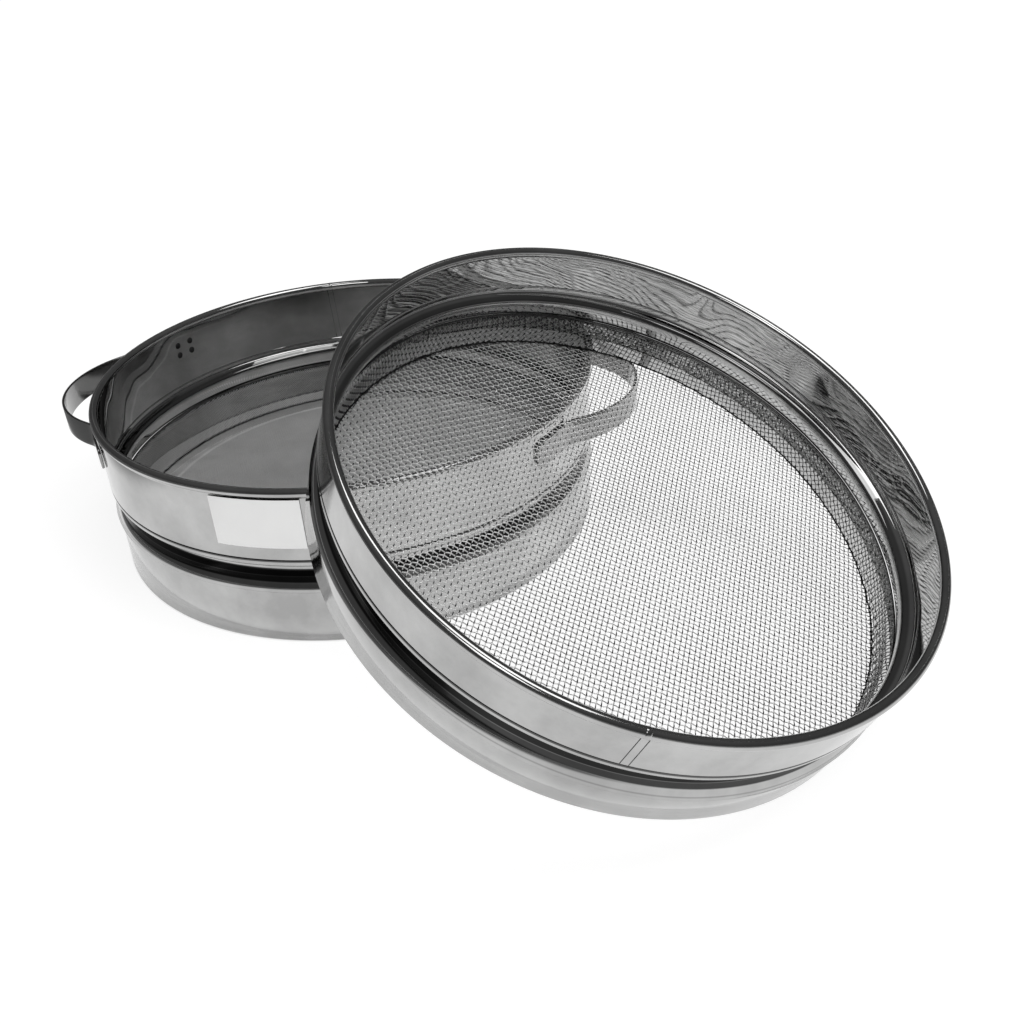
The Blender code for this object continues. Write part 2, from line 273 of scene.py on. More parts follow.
def upper_hoop_line(height, crease):
    """Centre line of an upper hoop: hollow curl, band, pressed groove and flared edge."""
    centre = (RIM_RADIUS - BEAD_RADIUS, height - BEAD_RADIUS)
    curl = arc(centre, BEAD_RADIUS - SHEET / 2, CURL_START, CURL_SWEEP, 30)
    body = [
        curl[-1],
        (BAND_RADIUS, height - BEAD_RADIUS - NECK_DROP),
        (BAND_RADIUS, crease + SCORE_TOP),
        (BAND_RADIUS - SCORE_DEPTH, crease + SCORE_MIDDLE),
        (BAND_RADIUS, crease + SCORE_FOOT),
        (BAND_RADIUS, crease - SHOULDER_DROP),
        (BAND_RADIUS - RIDGE_INSET, crease - RIDGE_DROP + RIDGE_NOSE),
        (BAND_RADIUS - RIDGE_INSET, crease - RIDGE_DROP - RIDGE_NOSE),
        (BAND_RADIUS - KNEE_INSET, crease - KNEE_DROP),
        (FLARE_RADIUS, crease - FLARE_DROP),
    ]
    return curl[:-1] + rounded(body, HOOP_CORNERS)


def lower_hoop_line(crease):
    """Centre line of a skirt, with the lip that lies under the flare."""
    knee = Vector((BAND_RADIUS - KNEE_INSET, crease - KNEE_DROP))
    edge = Vector((FLARE_RADIUS, crease - FLARE_DROP))
    along = (knee - edge).normalized()
    start = edge + Vector((-along.y, along.x)) * (SHEET + SEAT_GAP)
    corner = start + along * (SKIRT_RADIUS - start.x) / along.x
    lip = corner + along * LIP_LENGTH
    return rounded([tuple(lip), tuple(corner), (SKIRT_RADIUS, 0.4 * SHEET)], [LIP_CORNER])


def pan_top(crease):
    """Height of the cloth's cut edge, tucked under the flare."""
    return crease - FLARE_DROP + CLOTH_OVERLAP


# Wire cloth

def pan_surface(u, v, lift, floor, top):
    """Places of cloth points on the pan, from their places in the flat cloth and how far they stand off."""
    run = np.hypot(u, v)
    turn = np.arctan2(v, u)
    flat = PAN_RADIUS - PAN_CORNER
    bend = np.clip((run - flat) / PAN_CORNER, 0.0, pi / 2)
    wall = np.maximum(run - flat - PAN_CORNER * pi / 2, 0.0)
    radius = np.minimum(run, flat) + PAN_CORNER * np.sin(bend) - lift * np.sin(bend)
    height = floor + PAN_CORNER * (1 - np.cos(bend)) + wall + lift * np.cos(bend)
    tuck = np.clip((height - top + TUCK_HEIGHT) / TUCK_HEIGHT, 0.0, 1.0)
    crimp = np.exp(-(((height - floor - CRIMP_HEIGHT) / CRIMP_HEIGHT) ** 2)) * (run > flat)
    crimp *= (0.5 + 0.5 * np.sin(CRIMPS * turn)) * np.sin(1.5 * turn) ** 2
    radius += TUCK_REACH * tuck**2 - CRIMP * crimp
    normal = np.stack([-np.sin(bend) * np.cos(turn), -np.sin(bend) * np.sin(turn), np.cos(bend)], -1)
    return np.stack([radius * np.cos(turn), radius * np.sin(turn), height], -1), normal


def ripple(u, v, size):
    """Slow waves in the cloth's floor, and folds that run in from its bend."""
    waves = np.sin(u / RIPPLE_U + 0.7) * np.sin(v / RIPPLE_V + 1.9)
    waves += 0.5 * np.sin((u + v) / RIPPLE_ACROSS)
    inward = np.maximum(PAN_RADIUS - np.hypot(u, v), 0.0)
    turn = np.arctan2(v, u)
    folds = np.sin(FOLDS * turn + inward / FOLD_TURN) * np.exp(-inward / FOLD_FADE)
    folds *= np.sin(turn - 0.7) ** 4
    return size * waves, FOLD * folds * np.clip(inward / FOLD_FOOT, 0.0, 1.0)


def wire_family(along_u, pitch, wire, per_pitch, sides, turn, reach, floor, top, wave, seed):
    """All wires of one direction as tubes: (points, faces, which faces lie on top of a crossing)."""
    random = np.random.default_rng(seed)
    count = int(reach / pitch)
    points, faces, knuckles, used = [], [], [], 0
    ring = np.arange(sides) * tau / sides + pi / sides
    for index in range(-count, count + 1):
        offset = index * pitch
        half = sqrt(max(reach**2 - offset**2, 0.0))
        steps = int(half / pitch * per_pitch)
        if steps < 3:
            continue
        t = np.arange(-steps, steps + 1) * pitch / per_pitch
        shift = random.normal(0.0, DRIFT) * pitch
        drift = shift + DRIFT * pitch * np.sin(t / DRIFT_LENGTH + random.uniform(0, tau))
        lift = WEAVE_LIFT * wire * np.cos(pi * t / pitch + pi * index) * (1 if along_u else -1)
        knuckles.append(np.repeat(lift[:-1] + lift[1:] > SHADED_KNUCKLE_ABOVE * wire, sides))
        a, b = (t, offset + drift) if along_u else (offset + drift, t)
        u, v = a * cos(turn) - b * sin(turn), a * sin(turn) + b * cos(turn)
        inside = np.clip((PAN_RADIUS - CALM_EDGE - np.hypot(u, v)) / CALM_REACH, 0.0, 1.0)
        place, normal = pan_surface(u, v, lift, floor, top)
        waves, folds = ripple(u, v, wave)
        place[:, 2] += waves * inside + folds
        tangent = np.gradient(place, axis=0)
        side = np.cross(tangent, normal)
        side /= np.linalg.norm(side, axis=1)[:, None]
        up = np.cross(side, tangent)
        up /= np.linalg.norm(up, axis=1)[:, None]
        tube = place[:, None] + wire / 2 * (
            np.cos(ring)[None, :, None] * side[:, None] + np.sin(ring)[None, :, None] * up[:, None]
        )
        length = len(t)
        column, row = np.meshgrid(np.arange(length - 1), np.arange(sides), indexing="ij")
        here = used + column * sides + row
        beside = used + column * sides + (row + 1) % sides
        faces.append(np.stack([here, beside, beside + sides, here + sides], -1).reshape(-1, 4))
        points.append(tube.reshape(-1, 3))
        used += length * sides
    return points, faces, knuckles


def add_cloth(
    name, pose, body, slot, materials, pitch, wire, per_pitch, sides, turn, crease, floor, wave, nodes
):
    """A woven pan, in pieces that each stay under the largest number of faces."""
    top = pan_top(crease)
    reach = PAN_RADIUS - PAN_CORNER + PAN_CORNER * pi / 2 + (top - floor - PAN_CORNER)
    number = 0
    for along_u, seed, (wires, knuckle_shade) in zip((True, False), (WARP_SEED, WEFT_SEED), materials):
        points, faces, knuckles = wire_family(
            along_u, pitch, wire, per_pitch, sides, turn, reach, floor, top, wave, seed
        )
        start = 0
        while start < len(points):
            end, total = start, 0
            while end < len(points) and total + len(faces[end]) < MOST_FACES:
                total += len(faces[end])
                end += 1
            shift = faces[start].min()
            label = f"{name}_{number}"
            mesh = new_mesh(label, np.vstack(points[start:end]), np.vstack(faces[start:end]) - shift)
            piece = add_piece(label, mesh, pose, wires, body, slot, *nodes)
            # The tops of the crossings take the near-black painted shade.
            if knuckle_shade:
                piece.data.materials.append(knuckle_shade)
                on_top = np.concatenate(knuckles[start:end])
                mesh.polygons.foreach_set("material_index", on_top.astype(np.int32))
            number += 1
            start = end


# Materials

def new_material(name):
    """A material with its nodes, its links and the surface shader that it starts with."""
    material = bpy.data.materials.new(name)
    material.use_nodes = True
    nodes, links = material.node_tree.nodes, material.node_tree.links
    return material, nodes, links, nodes["Principled BSDF"]


def math_node(nodes, links, operation, first, second):
    """A maths node; each input is a socket or a number."""
    node = nodes.new("ShaderNodeMath")
    node.operation = operation
    for socket, value in zip(node.inputs, (first, second)):
        if isinstance(value, (int, float)):
            socket.default_value = value
        else:
            links.new(value, socket)
    return node.outputs[0]


def vector_node(nodes, links, operation, first, second=None):
    """A vector maths node; each input is a socket or a vector."""
    node = nodes.new("ShaderNodeVectorMath")
    node.operation = operation
    for socket, value in zip(node.inputs, (first, second)):
        if isinstance(value, bpy.types.NodeSocket):
            links.new(value, socket)
        elif value is not None:
            socket.default_value = value
    single = operation in ("DISTANCE", "DOT_PRODUCT", "LENGTH")
    return node.outputs["Value" if single else "Vector"]


def joined(nodes, links, **parts):
    """A vector with sockets for some of X, Y and Z, and 0 for the rest."""
    node = nodes.new("ShaderNodeCombineXYZ")
    for name, value in parts.items():
        links.new(value, node.inputs[name])
    return node.outputs[0]


def ramp_between(nodes, links, value, low, high, start=0.0, end=1.0, smooth=True):
    """A step of a value from low to high, smooth or straight."""
    node = nodes.new("ShaderNodeMapRange")
    node.interpolation_type = "SMOOTHSTEP" if smooth else "LINEAR"
    for name, number in (("From Min", low), ("From Max", high), ("To Min", start), ("To Max", end)):
        node.inputs[name].default_value = number
    links.new(value, node.inputs["Value"])
    return node.outputs[0]


def noise_node(nodes, links, place, scale, detail):
    """A noise texture over a place."""
    node = nodes.new("ShaderNodeTexNoise")
    node.inputs["Scale"].default_value = scale
    node.inputs["Detail"].default_value = detail
    links.new(place, node.inputs["Vector"])
    return node


def bump_node(nodes, links, height, strength, distance):
    """A bump by a height."""
    node = nodes.new("ShaderNodeBump")
    node.inputs["Strength"].default_value = strength
    node.inputs["Distance"].default_value = distance
    links.new(height, node.inputs["Height"])
    return node


def shaded(nodes, links, color, shade):
    """A colour, written out or from a socket, times a shade."""
    node = nodes.new("ShaderNodeMix")
    node.data_type = "RGBA"
    node.blend_type = "MULTIPLY"
    node.inputs["Factor"].default_value = 1.0
    if isinstance(color, bpy.types.NodeSocket):
        links.new(color, node.inputs["A"])
    else:
        node.inputs["A"].default_value = (*color, 1.0)
    links.new(shade, node.inputs["B"])
    return node.outputs["Result"]


def between_tones(nodes, links, value, dark, light, low=0.0, high=1.0):
    """A colour that goes from dark to light as a value goes from low to high."""
    node = nodes.new("ShaderNodeValToRGB")
    for stop, position, color in zip(node.color_ramp.elements, (low, high), (dark, light)):
        stop.position, stop.color = position, (*color, 1.0)
    links.new(value, node.inputs["Fac"])
    return node.outputs["Color"]


def sieve_place(nodes, links, pose):
    """Position and normal in the frame of the sieve that stands at a pose."""
    place = nodes.new("ShaderNodeTexCoord")
    back = pose.inverted()
    sockets = []
    for output, kind in (("Object", "POINT"), ("Normal", "VECTOR")):
        turned_back = nodes.new("ShaderNodeMapping")
        turned_back.vector_type = kind
        if kind == "POINT":
            turned_back.inputs["Location"].default_value = back.to_translation()
        turned_back.inputs["Rotation"].default_value = back.to_euler()
        links.new(place.outputs[output], turned_back.inputs["Vector"])
        sockets.append(turned_back.outputs[0])
    return sockets


def facing_out(nodes, links, normal, flat):
    """1 on faces turned away from the sieve's axis, 0 on faces turned towards it."""
    radial = vector_node(nodes, links, "NORMALIZE", flat)
    share = vector_node(nodes, links, "DOT_PRODUCT", normal, radial)
    return ramp_between(nodes, links, share, -0.05, 0.05)


def by_side(nodes, links, outer, inside, outside):
    """One value on faces turned towards the sieve's axis, another on faces turned away."""
    return ramp_between(nodes, links, outer, 0.0, 1.0, inside, outside)


# Painted shade and painted dark reflection in the groove, millimetres below the crease: from, to, tone, 1
# for outer faces or 0 for inner
GROOVE_PAINTED_SHADE = (
    (0.1, -1.1, 0.2, 1),
    (9.3, 6.1, 0.06, 1),
    (11.7, 9.3, 0.12, 1),
    (14.2, 13.9, 0.6, 1),
    (4.6, 2.6, 0.5, 0),
    (16.0, 11.5, 0.2, 0),
)
PAINTED_SHADE_EDGE = 0.25


def groove_painted_shade(nodes, links, height, outer, bands):
    """The painted shade of all dark bands together, by height over the crease."""
    tone = None
    inner = math_node(nodes, links, "SUBTRACT", 1.0, outer)
    for low, high, level, side in bands:
        above = ramp_between(nodes, links, height, -(low + PAINTED_SHADE_EDGE) * MM, -(low - PAINTED_SHADE_EDGE) * MM)
        below = ramp_between(nodes, links, height, -(high - PAINTED_SHADE_EDGE) * MM, -(high + PAINTED_SHADE_EDGE) * MM)
        band = math_node(nodes, links, "MULTIPLY", above, below)
        band = math_node(nodes, links, "MULTIPLY", band, outer if side else inner)
        dark = math_node(nodes, links, "MULTIPLY", band, 1.0 - level)
        bright = math_node(nodes, links, "SUBTRACT", 1.0, dark)
        tone = bright if tone is None else math_node(nodes, links, "MULTIPLY", tone, bright)
    return tone


# Streaks round a hoop: stretch of (turn in radians, unused, height in metres)
STREAK_STRETCH = (3.0, 1.0, 1400.0)
STAIN_SCALE, STAIN_DETAIL, STAIN_ROUGHNESS = 28.0, 5.0, 0.6
STAIN_DEPTH, STREAK_DEPTH, STREAK_BUMP = 0.2 * MM, 0.02 * MM, 0.08

# Dents of a hoop, far softer outside than inside, and the share of its roughness inside
DENT_SCALE, DENT_DETAIL, DENT_DEPTH = 36.0, 0.4, 0.6 * MM
DENTS_OUTSIDE = 0.12
STAIN_BUMP_INSIDE = 0.02
ROUGHNESS_INSIDE = 0.35


def steel_material(name, color, roughness, streak, mottle, bump, pose=FINE_POSE, crease=None, bands=()):
    """Polished sheet with fine streaks and soft stains; a hoop's, with a crease, has painted shade in its
    groove and dents.
    """
    material, nodes, links, shader = new_material(name)
    shader.inputs["Metallic"].default_value = 1.0
    place, normal = sieve_place(nodes, links, pose)
    split = nodes.new("ShaderNodeSeparateXYZ")
    links.new(place, split.inputs[0])
    angle = math_node(nodes, links, "ARCTAN2", split.outputs["Y"], split.outputs["X"])
    wrap = joined(nodes, links, X=angle, Z=split.outputs["Z"])
    lines = noise_node(nodes, links, vector_node(nodes, links, "MULTIPLY", wrap, STREAK_STRETCH), 1.0, 3.0)
    stains = noise_node(nodes, links, place, STAIN_SCALE, STAIN_DETAIL)
    stains.inputs["Roughness"].default_value = STAIN_ROUGHNESS
    shade = ramp_between(nodes, links, stains.outputs["Fac"], 0.3, 0.7, 1.0 - mottle, 1.0, smooth=False)
    gloss = ramp_between(
        nodes, links, lines.outputs["Fac"], 0.25, 0.75, roughness - streak, roughness + streak, smooth=False
    )
    waves = bump_node(nodes, links, stains.outputs["Fac"], bump, STAIN_DEPTH)
    grain = bump_node(nodes, links, lines.outputs["Fac"], STREAK_BUMP, STREAK_DEPTH)
    links.new(waves.outputs[0], grain.inputs["Normal"])
    if crease is not None:
        flat = joined(nodes, links, X=split.outputs["X"], Y=split.outputs["Y"])
        outer = facing_out(nodes, links, normal, flat)
        height = math_node(nodes, links, "SUBTRACT", split.outputs["Z"], crease)
        # The groove's dark bands are painted shade and painted dark reflection.
        groove_shade = groove_painted_shade(nodes, links, height, outer, bands)
        shade = math_node(nodes, links, "MULTIPLY", shade, groove_shade)
        sheen = by_side(nodes, links, outer, ROUGHNESS_INSIDE, 1.0)
        gloss = math_node(nodes, links, "MULTIPLY", gloss, sheen)
        swell = noise_node(nodes, links, place, DENT_SCALE, DENT_DETAIL)
        strength = by_side(nodes, links, outer, 1.0, DENTS_OUTSIDE)
        depth = math_node(nodes, links, "MULTIPLY", swell.outputs["Fac"], strength)
        dents = bump_node(nodes, links, depth, 1.0, DENT_DEPTH)
        links.new(dents.outputs[0], waves.inputs["Normal"])
        links.new(by_side(nodes, links, outer, STAIN_BUMP_INSIDE, bump), waves.inputs["Strength"])
    links.new(shaded(nodes, links, color, shade), shader.inputs["Base Color"])
    links.new(gloss, shader.inputs["Roughness"])
    links.new(grain.outputs[0], shader.inputs["Normal"])
    return material


# Wire: patches in its tone, random and at the broad scale painted sheen bands, as scale, detail and weight,
# and the darkest share of its colour
WIRE_METALLIC = 0.65
WIRE_PATCHES_AND_SHEEN = ((90.0, 2.0, 0.4), (14.0, 1.0, 0.6))
WIRE_DARKEST = 0.7

# Painted shade on the wire in the fold: distance from its middle, from and to, and tone, from and to
FOLD_SHADE = (0.8 * MM, 1.3 * MM, 0.05, 1.0)

# The painted highlight ring's half width, full and with its soft edges, and how much brighter it is
RING_EDGE, RING_REACH, RING_GAIN = 0.3 * MM, 1.6 * MM, 0.5

# Height over the floor at which the wall's painted shade starts and is full
WALL_START, WALL_FULL = 1 * MM, 4 * MM


def wire_material(name, color, roughness, pose, floor, wall, ring=None):
    """Drawn wire in uneven tones partly painted as sheen, with painted shade in the fold and on the wall,
    and a painted highlight on the ring.
    """
    material, nodes, links, shader = new_material(name)
    shader.inputs["Metallic"].default_value = WIRE_METALLIC
    shader.inputs["Roughness"].default_value = roughness
    place, _ = sieve_place(nodes, links, pose)
    # The fine patches are random tone; the broad ones are painted sheen bands.
    parts = []
    for scale, detail, weight in WIRE_PATCHES_AND_SHEEN:
        noise = noise_node(nodes, links, place, scale, detail)
        parts.append(math_node(nodes, links, "MULTIPLY", noise.outputs["Fac"], weight))
    patches_and_sheen = math_node(nodes, links, "ADD", *parts)
    dark = [level * WIRE_DARKEST for level in color]
    tones = between_tones(nodes, links, patches_and_sheen, dark, color, 0.3, 0.7)
    split = nodes.new("ShaderNodeSeparateXYZ")
    links.new(place, split.inputs[0])
    flat = joined(nodes, links, X=split.outputs["X"], Y=split.outputs["Y"])
    run = vector_node(nodes, links, "LENGTH", flat)
    spot = joined(nodes, links, X=run, Y=split.outputs["Z"])
    # Painted shade on the wires in the fold.
    fold = (PAN_RADIUS - FOLD_INSET, floor + FOLD_INSET, 0.0)
    shade = ramp_between(nodes, links, vector_node(nodes, links, "DISTANCE", spot, fold), *FOLD_SHADE)
    # A painted highlight along the ring.
    if ring:
        rise = ramp_between(nodes, links, run, ring - RING_REACH, ring - RING_EDGE, 0.0, RING_GAIN)
        fall = ramp_between(nodes, links, run, ring + RING_EDGE, ring + RING_REACH, 0.0, RING_GAIN)
        ring_highlight = math_node(nodes, links, "ADD", math_node(nodes, links, "SUBTRACT", rise, fall), 1.0)
        shade = math_node(nodes, links, "MULTIPLY", shade, ring_highlight)
    # Painted shade on the wall, from the floor's tone down to the given share.
    wall_painted_shade = ramp_between(nodes, links, split.outputs["Z"], floor + WALL_START, floor + WALL_FULL, 1.0, wall)
    shade = math_node(nodes, links, "MULTIPLY", shade, wall_painted_shade)
    links.new(shaded(nodes, links, tones, shade), shader.inputs["Base Color"])
    return material


def film_material():
    """Thin silvery film with faint wrinkles."""
    material, nodes, links, shader = new_material("label_film")
    shader.inputs["Metallic"].default_value = 0.85
    shader.inputs["Roughness"].default_value = 0.28
    place = nodes.new("ShaderNodeTexCoord").outputs["Object"]
    noise = noise_node(nodes, links, place, 60.0, 4.0)
    tones = between_tones(nodes, links, noise.outputs["Fac"], (0.80, 0.80, 0.795), (0.88, 0.88, 0.875))
    links.new(tones, shader.inputs["Base Color"])
    wrinkles = bump_node(nodes, links, noise.outputs["Fac"], 0.1, 0.1 * MM)
    links.new(wrinkles.outputs[0], shader.inputs["Normal"])
    return material


# The hoops' polish: colour, roughness, streaks, mottling, bump
HOOP_FINISH = ((0.55, 0.55, 0.547), 0.09, 0.02, 0.32, 0.10)
HOOP_STEEL = {
    "fine": steel_material("fine_hoop_steel", *HOOP_FINISH, FINE_POSE, FINE_CREASE, GROOVE_PAINTED_SHADE),
    "coarse": steel_material("coarse_hoop_steel", *HOOP_FINISH, COARSE_POSE, COARSE_CREASE, GROOVE_PAINTED_SHADE),
}
# The straps' steel is drawn darker than the hoops' as a painted dark reflection of the surroundings.
STRAP_STEEL = steel_material("strap_steel", (0.34, 0.34, 0.338), 0.12, 0.04, 0.25, 0.15)
# Dark steel for the spot welds' burn marks, and for the painted shade lines along the laps' outer edges.
WELD_BURN_AND_SHADE_STEEL = steel_material("weld_steel", (0.08, 0.08, 0.08), 0.35, 0.05, 0.3, 0.4)
# Near-black steel of the crushed fold, painted shade in the crease
FOLD_PAINTED_SHADE = steel_material("fold_painted_shade_steel", (0.03, 0.03, 0.03), 0.4, 0.05, 0.3, 0.2)
FILM = film_material()

# Where each cloth lies and the painted shade of its wall, as a share of its floor's tone; the fine cloth
# also has its painted highlight ring
COARSE_CLOTH = (COARSE_POSE, COARSE_FLOOR, 0.6)
FINE_CLOTH = (FINE_POSE, FINE_FLOOR, 1.0, HIGHLIGHT_RING)

# The wires of both directions, each with the material of the painted shade on its tops or None
# The warp and the weft are one wire; the warp is drawn darker and the weft lighter as painted shade and
# light.
COARSE_WIRES = (
    (wire_material("coarse_warp", (0.90, 0.90, 0.897), 0.3, *COARSE_CLOTH),
     wire_material("coarse_knuckle_painted_shade", (0.06, 0.06, 0.06), 0.3, *COARSE_CLOTH)),
    (wire_material("coarse_weft", (0.95, 0.95, 0.945), 0.34, *COARSE_CLOTH), None),
)
FINE_WIRES = (
    (wire_material("fine_warp", (0.54, 0.54, 0.537), 0.32, *FINE_CLOTH), None),
    (wire_material("fine_weft", (0.64, 0.64, 0.637), 0.36, *FINE_CLOTH), None),
)


# Hoops and cloth

def swept(name, rings):
    """A closed tube through rings of points, each end drawn together to its middle."""
    rings = [np.asarray(ring) for ring in rings]
    rings = [np.repeat(rings[0].mean(0)[None], len(rings[0]), 0), *rings]
    rings = [*rings, np.repeat(rings[-1].mean(0)[None], len(rings[-1]), 0)]
    sides = len(rings[0])
    column, row = np.meshgrid(np.arange(len(rings) - 1), np.arange(sides), indexing="ij")
    here = column * sides + row
    beside = column * sides + (row + 1) % sides
    faces = np.stack([here, beside, beside + sides, here + sides], -1).reshape(-1, 4)
    return new_mesh(name, np.vstack(rings), faces)


def add_lap(kind, pose, body, steel, height, crease):
    """The lap seam of a hoop's band: both edges, inside and out, and the closed joint of its rim."""
    low, high = crease + LAP_FOOT, height - BEAD_RADIUS - NECK_DROP + LAP_HEAD
    for side, way in (("outside", 1), ("inside", -1)):
        skin = BAND_RADIUS + way * SHEET / 2
        for edge, shift in (("a", -0.5), ("b", 0.5)):
            middle = LAP_AZIMUTHS[kind] + shift * LAP_WIDTH / BAND_RADIUS
            turns = middle + np.array([-1, 0, 1, 0]) * LAP_LINE / BAND_RADIUS / 2
            radii = skin + way * np.array([-LAP_SINK, LAP_RISE, -LAP_SINK, -LAP_ROOT])
            rings = []
            for z in np.linspace(low, high, 8):
                lean = LAP_SLANT * (z - (low + high) / 2) / BAND_RADIUS
                ring = (radii * np.cos(turns + lean), radii * np.sin(turns + lean), np.full(4, z))
                rings.append(np.stack(ring, -1))
            name = f"{kind}_lap_{side}_{edge}"
            # Outside, each edge is a painted shade line in the dark weld steel; inside, it is in the hoop's
            # steel.
            seam = WELD_BURN_AND_SHADE_STEEL if way > 0 else steel
            add_piece(name, swept(name, rings), pose, seam, body, kind + "_steel")
    circle = np.arange(24) * tau / 24
    rings = []
    for step, rise in RIM_JOINT:
        turn = LAP_AZIMUTHS[kind] + step * MM / RIM_RADIUS
        sleeve = BEAD_RADIUS + rise * MM
        radius = RIM_RADIUS - BEAD_RADIUS + sleeve * np.cos(circle)
        z = height - BEAD_RADIUS + sleeve * np.sin(circle)
        rings.append(np.stack([radius * cos(turn), radius * sin(turn), z], -1))
    name = kind + "_rim_joint"
    add_piece(name, swept(name, rings), pose, steel, body, kind + "_steel")


def handle_line():
    """Half of the strap's centre line in plan, from the bow's tip to the foot's end, with half heights."""
    foot_radius = BAND_RADIUS + SHEET / 2 + SEAT_GAP + STRAP / 2
    bow_centre = RIM_RADIUS + HANDLE_REACH - STRAP / 2 - BOW_RADIUS
    to_hoop, to_bow = foot_radius + BOW_FILLET, BOW_RADIUS + BOW_FILLET
    x = (to_hoop**2 - to_bow**2 + bow_centre**2) / (2 * bow_centre)
    y = sqrt(to_hoop**2 - x**2)
    sweep, leave = atan2(y, x - bow_centre), atan2(y, x)
    straight = FOOT_REACH - FOOT_CORNER / foot_radius
    line = arc((bow_centre, 0.0), BOW_RADIUS, 0.0, sweep, 40)
    line += arc((x, y), BOW_FILLET, sweep + pi, leave - sweep, 16)[1:]
    line += arc((0.0, 0.0), foot_radius, leave, straight - leave, 10)[1:]
    heights = [STRAP_HEIGHT / 2] * len(line)
    for turn in np.radians(np.arange(10, 90, 10)):
        angle = straight + sin(turn) * FOOT_CORNER / foot_radius
        line.append((foot_radius * cos(angle), foot_radius * sin(angle)))
        heights.append(STRAP_HEIGHT / 2 - FOOT_CORNER * (1 - cos(turn)))
    return np.array(line), np.array(heights)


def add_fold(name, pose, body, slot, floor):
    """The sharp fold where the cloth is pressed from floor to wall, its wires crushed together and drawn
    near black as painted shade.
    """
    turns = np.arange(FOLD_STEPS + 1) * tau / FOLD_STEPS
    circle = np.arange(6) * tau / 6
    step = np.sin(CRIMPS * turns) * np.sin(1.5 * turns) ** 2
    radius = PAN_RADIUS - FOLD_INSET + FOLD_WAVE * (step + 0.4 * np.sin(61 * turns) * np.sin(17 * turns))
    height = floor + FOLD_INSET + FOLD_WAVE * 0.5 * np.sin(83 * turns)
    rings = []
    for turn, reach, level in zip(turns, radius, height):
        across = reach + FOLD_WIDTH / 2 * np.cos(circle)
        up = level + FOLD_WIDTH / 2 * np.sin(circle)
        rings.append(np.stack([across * cos(turn), across * sin(turn), up], -1))
    add_piece(name, swept(name, rings), pose, FOLD_PAINTED_SHADE, body, slot)


def strap_outline(half_height):
    """A strap's cross section with rounded edges: (across, up)."""
    flat, tall = STRAP / 2 - STRAP_EDGE, half_height - STRAP_EDGE
    points = []
    for corner, (a, b) in enumerate(((flat, tall), (-flat, tall), (-flat, -tall), (flat, -tall))):
        points += arc((a, b), STRAP_EDGE, corner * pi / 2, pi / 2, 4)
    return np.array(points)


def add_handle(name, azimuth):
    """One strap handle with softly rounded edges."""
    half, heights = handle_line()
    line = np.vstack([half[::-1] * (1, -1), half[1:]])
    heights = np.concatenate([heights[::-1], heights[1:]])
    along = np.gradient(line, axis=0)
    along /= np.linalg.norm(along, axis=1)[:, None]
    rings = []
    for point, way, height in zip(line, along, heights):
        section = strap_outline(height)
        out = np.array([way[1], -way[0]])
        flat = point + section[:, :1] * out
        rings.append(np.column_stack([flat, section[:, 1]]))
    turn = Matrix.Rotation(azimuth, 4, "Z")
    pose = FINE_POSE @ turn @ Matrix.Translation((0.0, 0.0, HANDLE_MIDDLE))
    mesh = swept(name + "_strap", rings)
    add_piece(name + "_strap", mesh, pose, STRAP_STEEL, "fine_sieve", "strap_steel", name)


def dimple(name, radius):
    """A small pressed disc with a raised ring, its face towards +Z."""
    circle = np.arange(24) * tau / 24
    rings = []
    for share, rise in DIMPLE_PROFILE:
        reach = share * radius
        ring = (reach * np.cos(circle), reach * np.sin(circle), np.full(24, rise * MM))
        rings.append(np.stack(ring, -1))
    return swept(name, rings)


def add_welds(handle, azimuth):
    """Two by two weld dimples on the inside of the band in each foot of a handle."""
    wall = BAND_RADIUS - SHEET / 2
    middle = FOOT_REACH - WELD_FROM_END / wall
    side_name = handle.replace("handle_", "weld_")
    for foot, side in (("a", 1), ("b", -1)):
        places = [(across, up) for across in (-0.5, 0.5) for up in (-0.5, 0.5)]
        for number, (across, up) in enumerate(places, 1):
            turn = azimuth + side * (middle + across * WELD_SPACING_ROUND / wall)
            height = HANDLE_MIDDLE + up * WELD_SPACING_UP
            name = f"{side_name}_{foot}{number}"
            button = dimple(name + "_dimple", DIMPLE_RADIUS)
            place = Matrix.Rotation(turn, 4, "Z") @ Matrix.Translation((wall - DIMPLE_SINK, 0.0, height))
            face_in = Matrix.Rotation(-pi / 2, 4, "Y")
            pose = FINE_POSE @ place @ face_in
            add_piece(name + "_dimple", button, pose, WELD_BURN_AND_SHADE_STEEL, "fine_sieve", "weld_steel", name)


def add_sieve(kind, pose, body, height, crease):
    """Both hoops of one sieve."""
    upper = turned(kind + "_upper_hoop_sheet", sheet_outline(upper_hoop_line(height, crease), SHEET))
    steel = HOOP_STEEL[kind]
    add_piece(kind + "_upper_hoop_sheet", upper, pose, steel, body, kind + "_steel", kind + "_upper_hoop")
    lower = turned(kind + "_lower_hoop_sheet", sheet_outline(lower_hoop_line(crease), SHEET))
    add_piece(kind + "_lower_hoop_sheet", lower, pose, steel, body, kind + "_steel", kind + "_lower_hoop")
    add_lap(kind, pose, body, steel, height, crease)


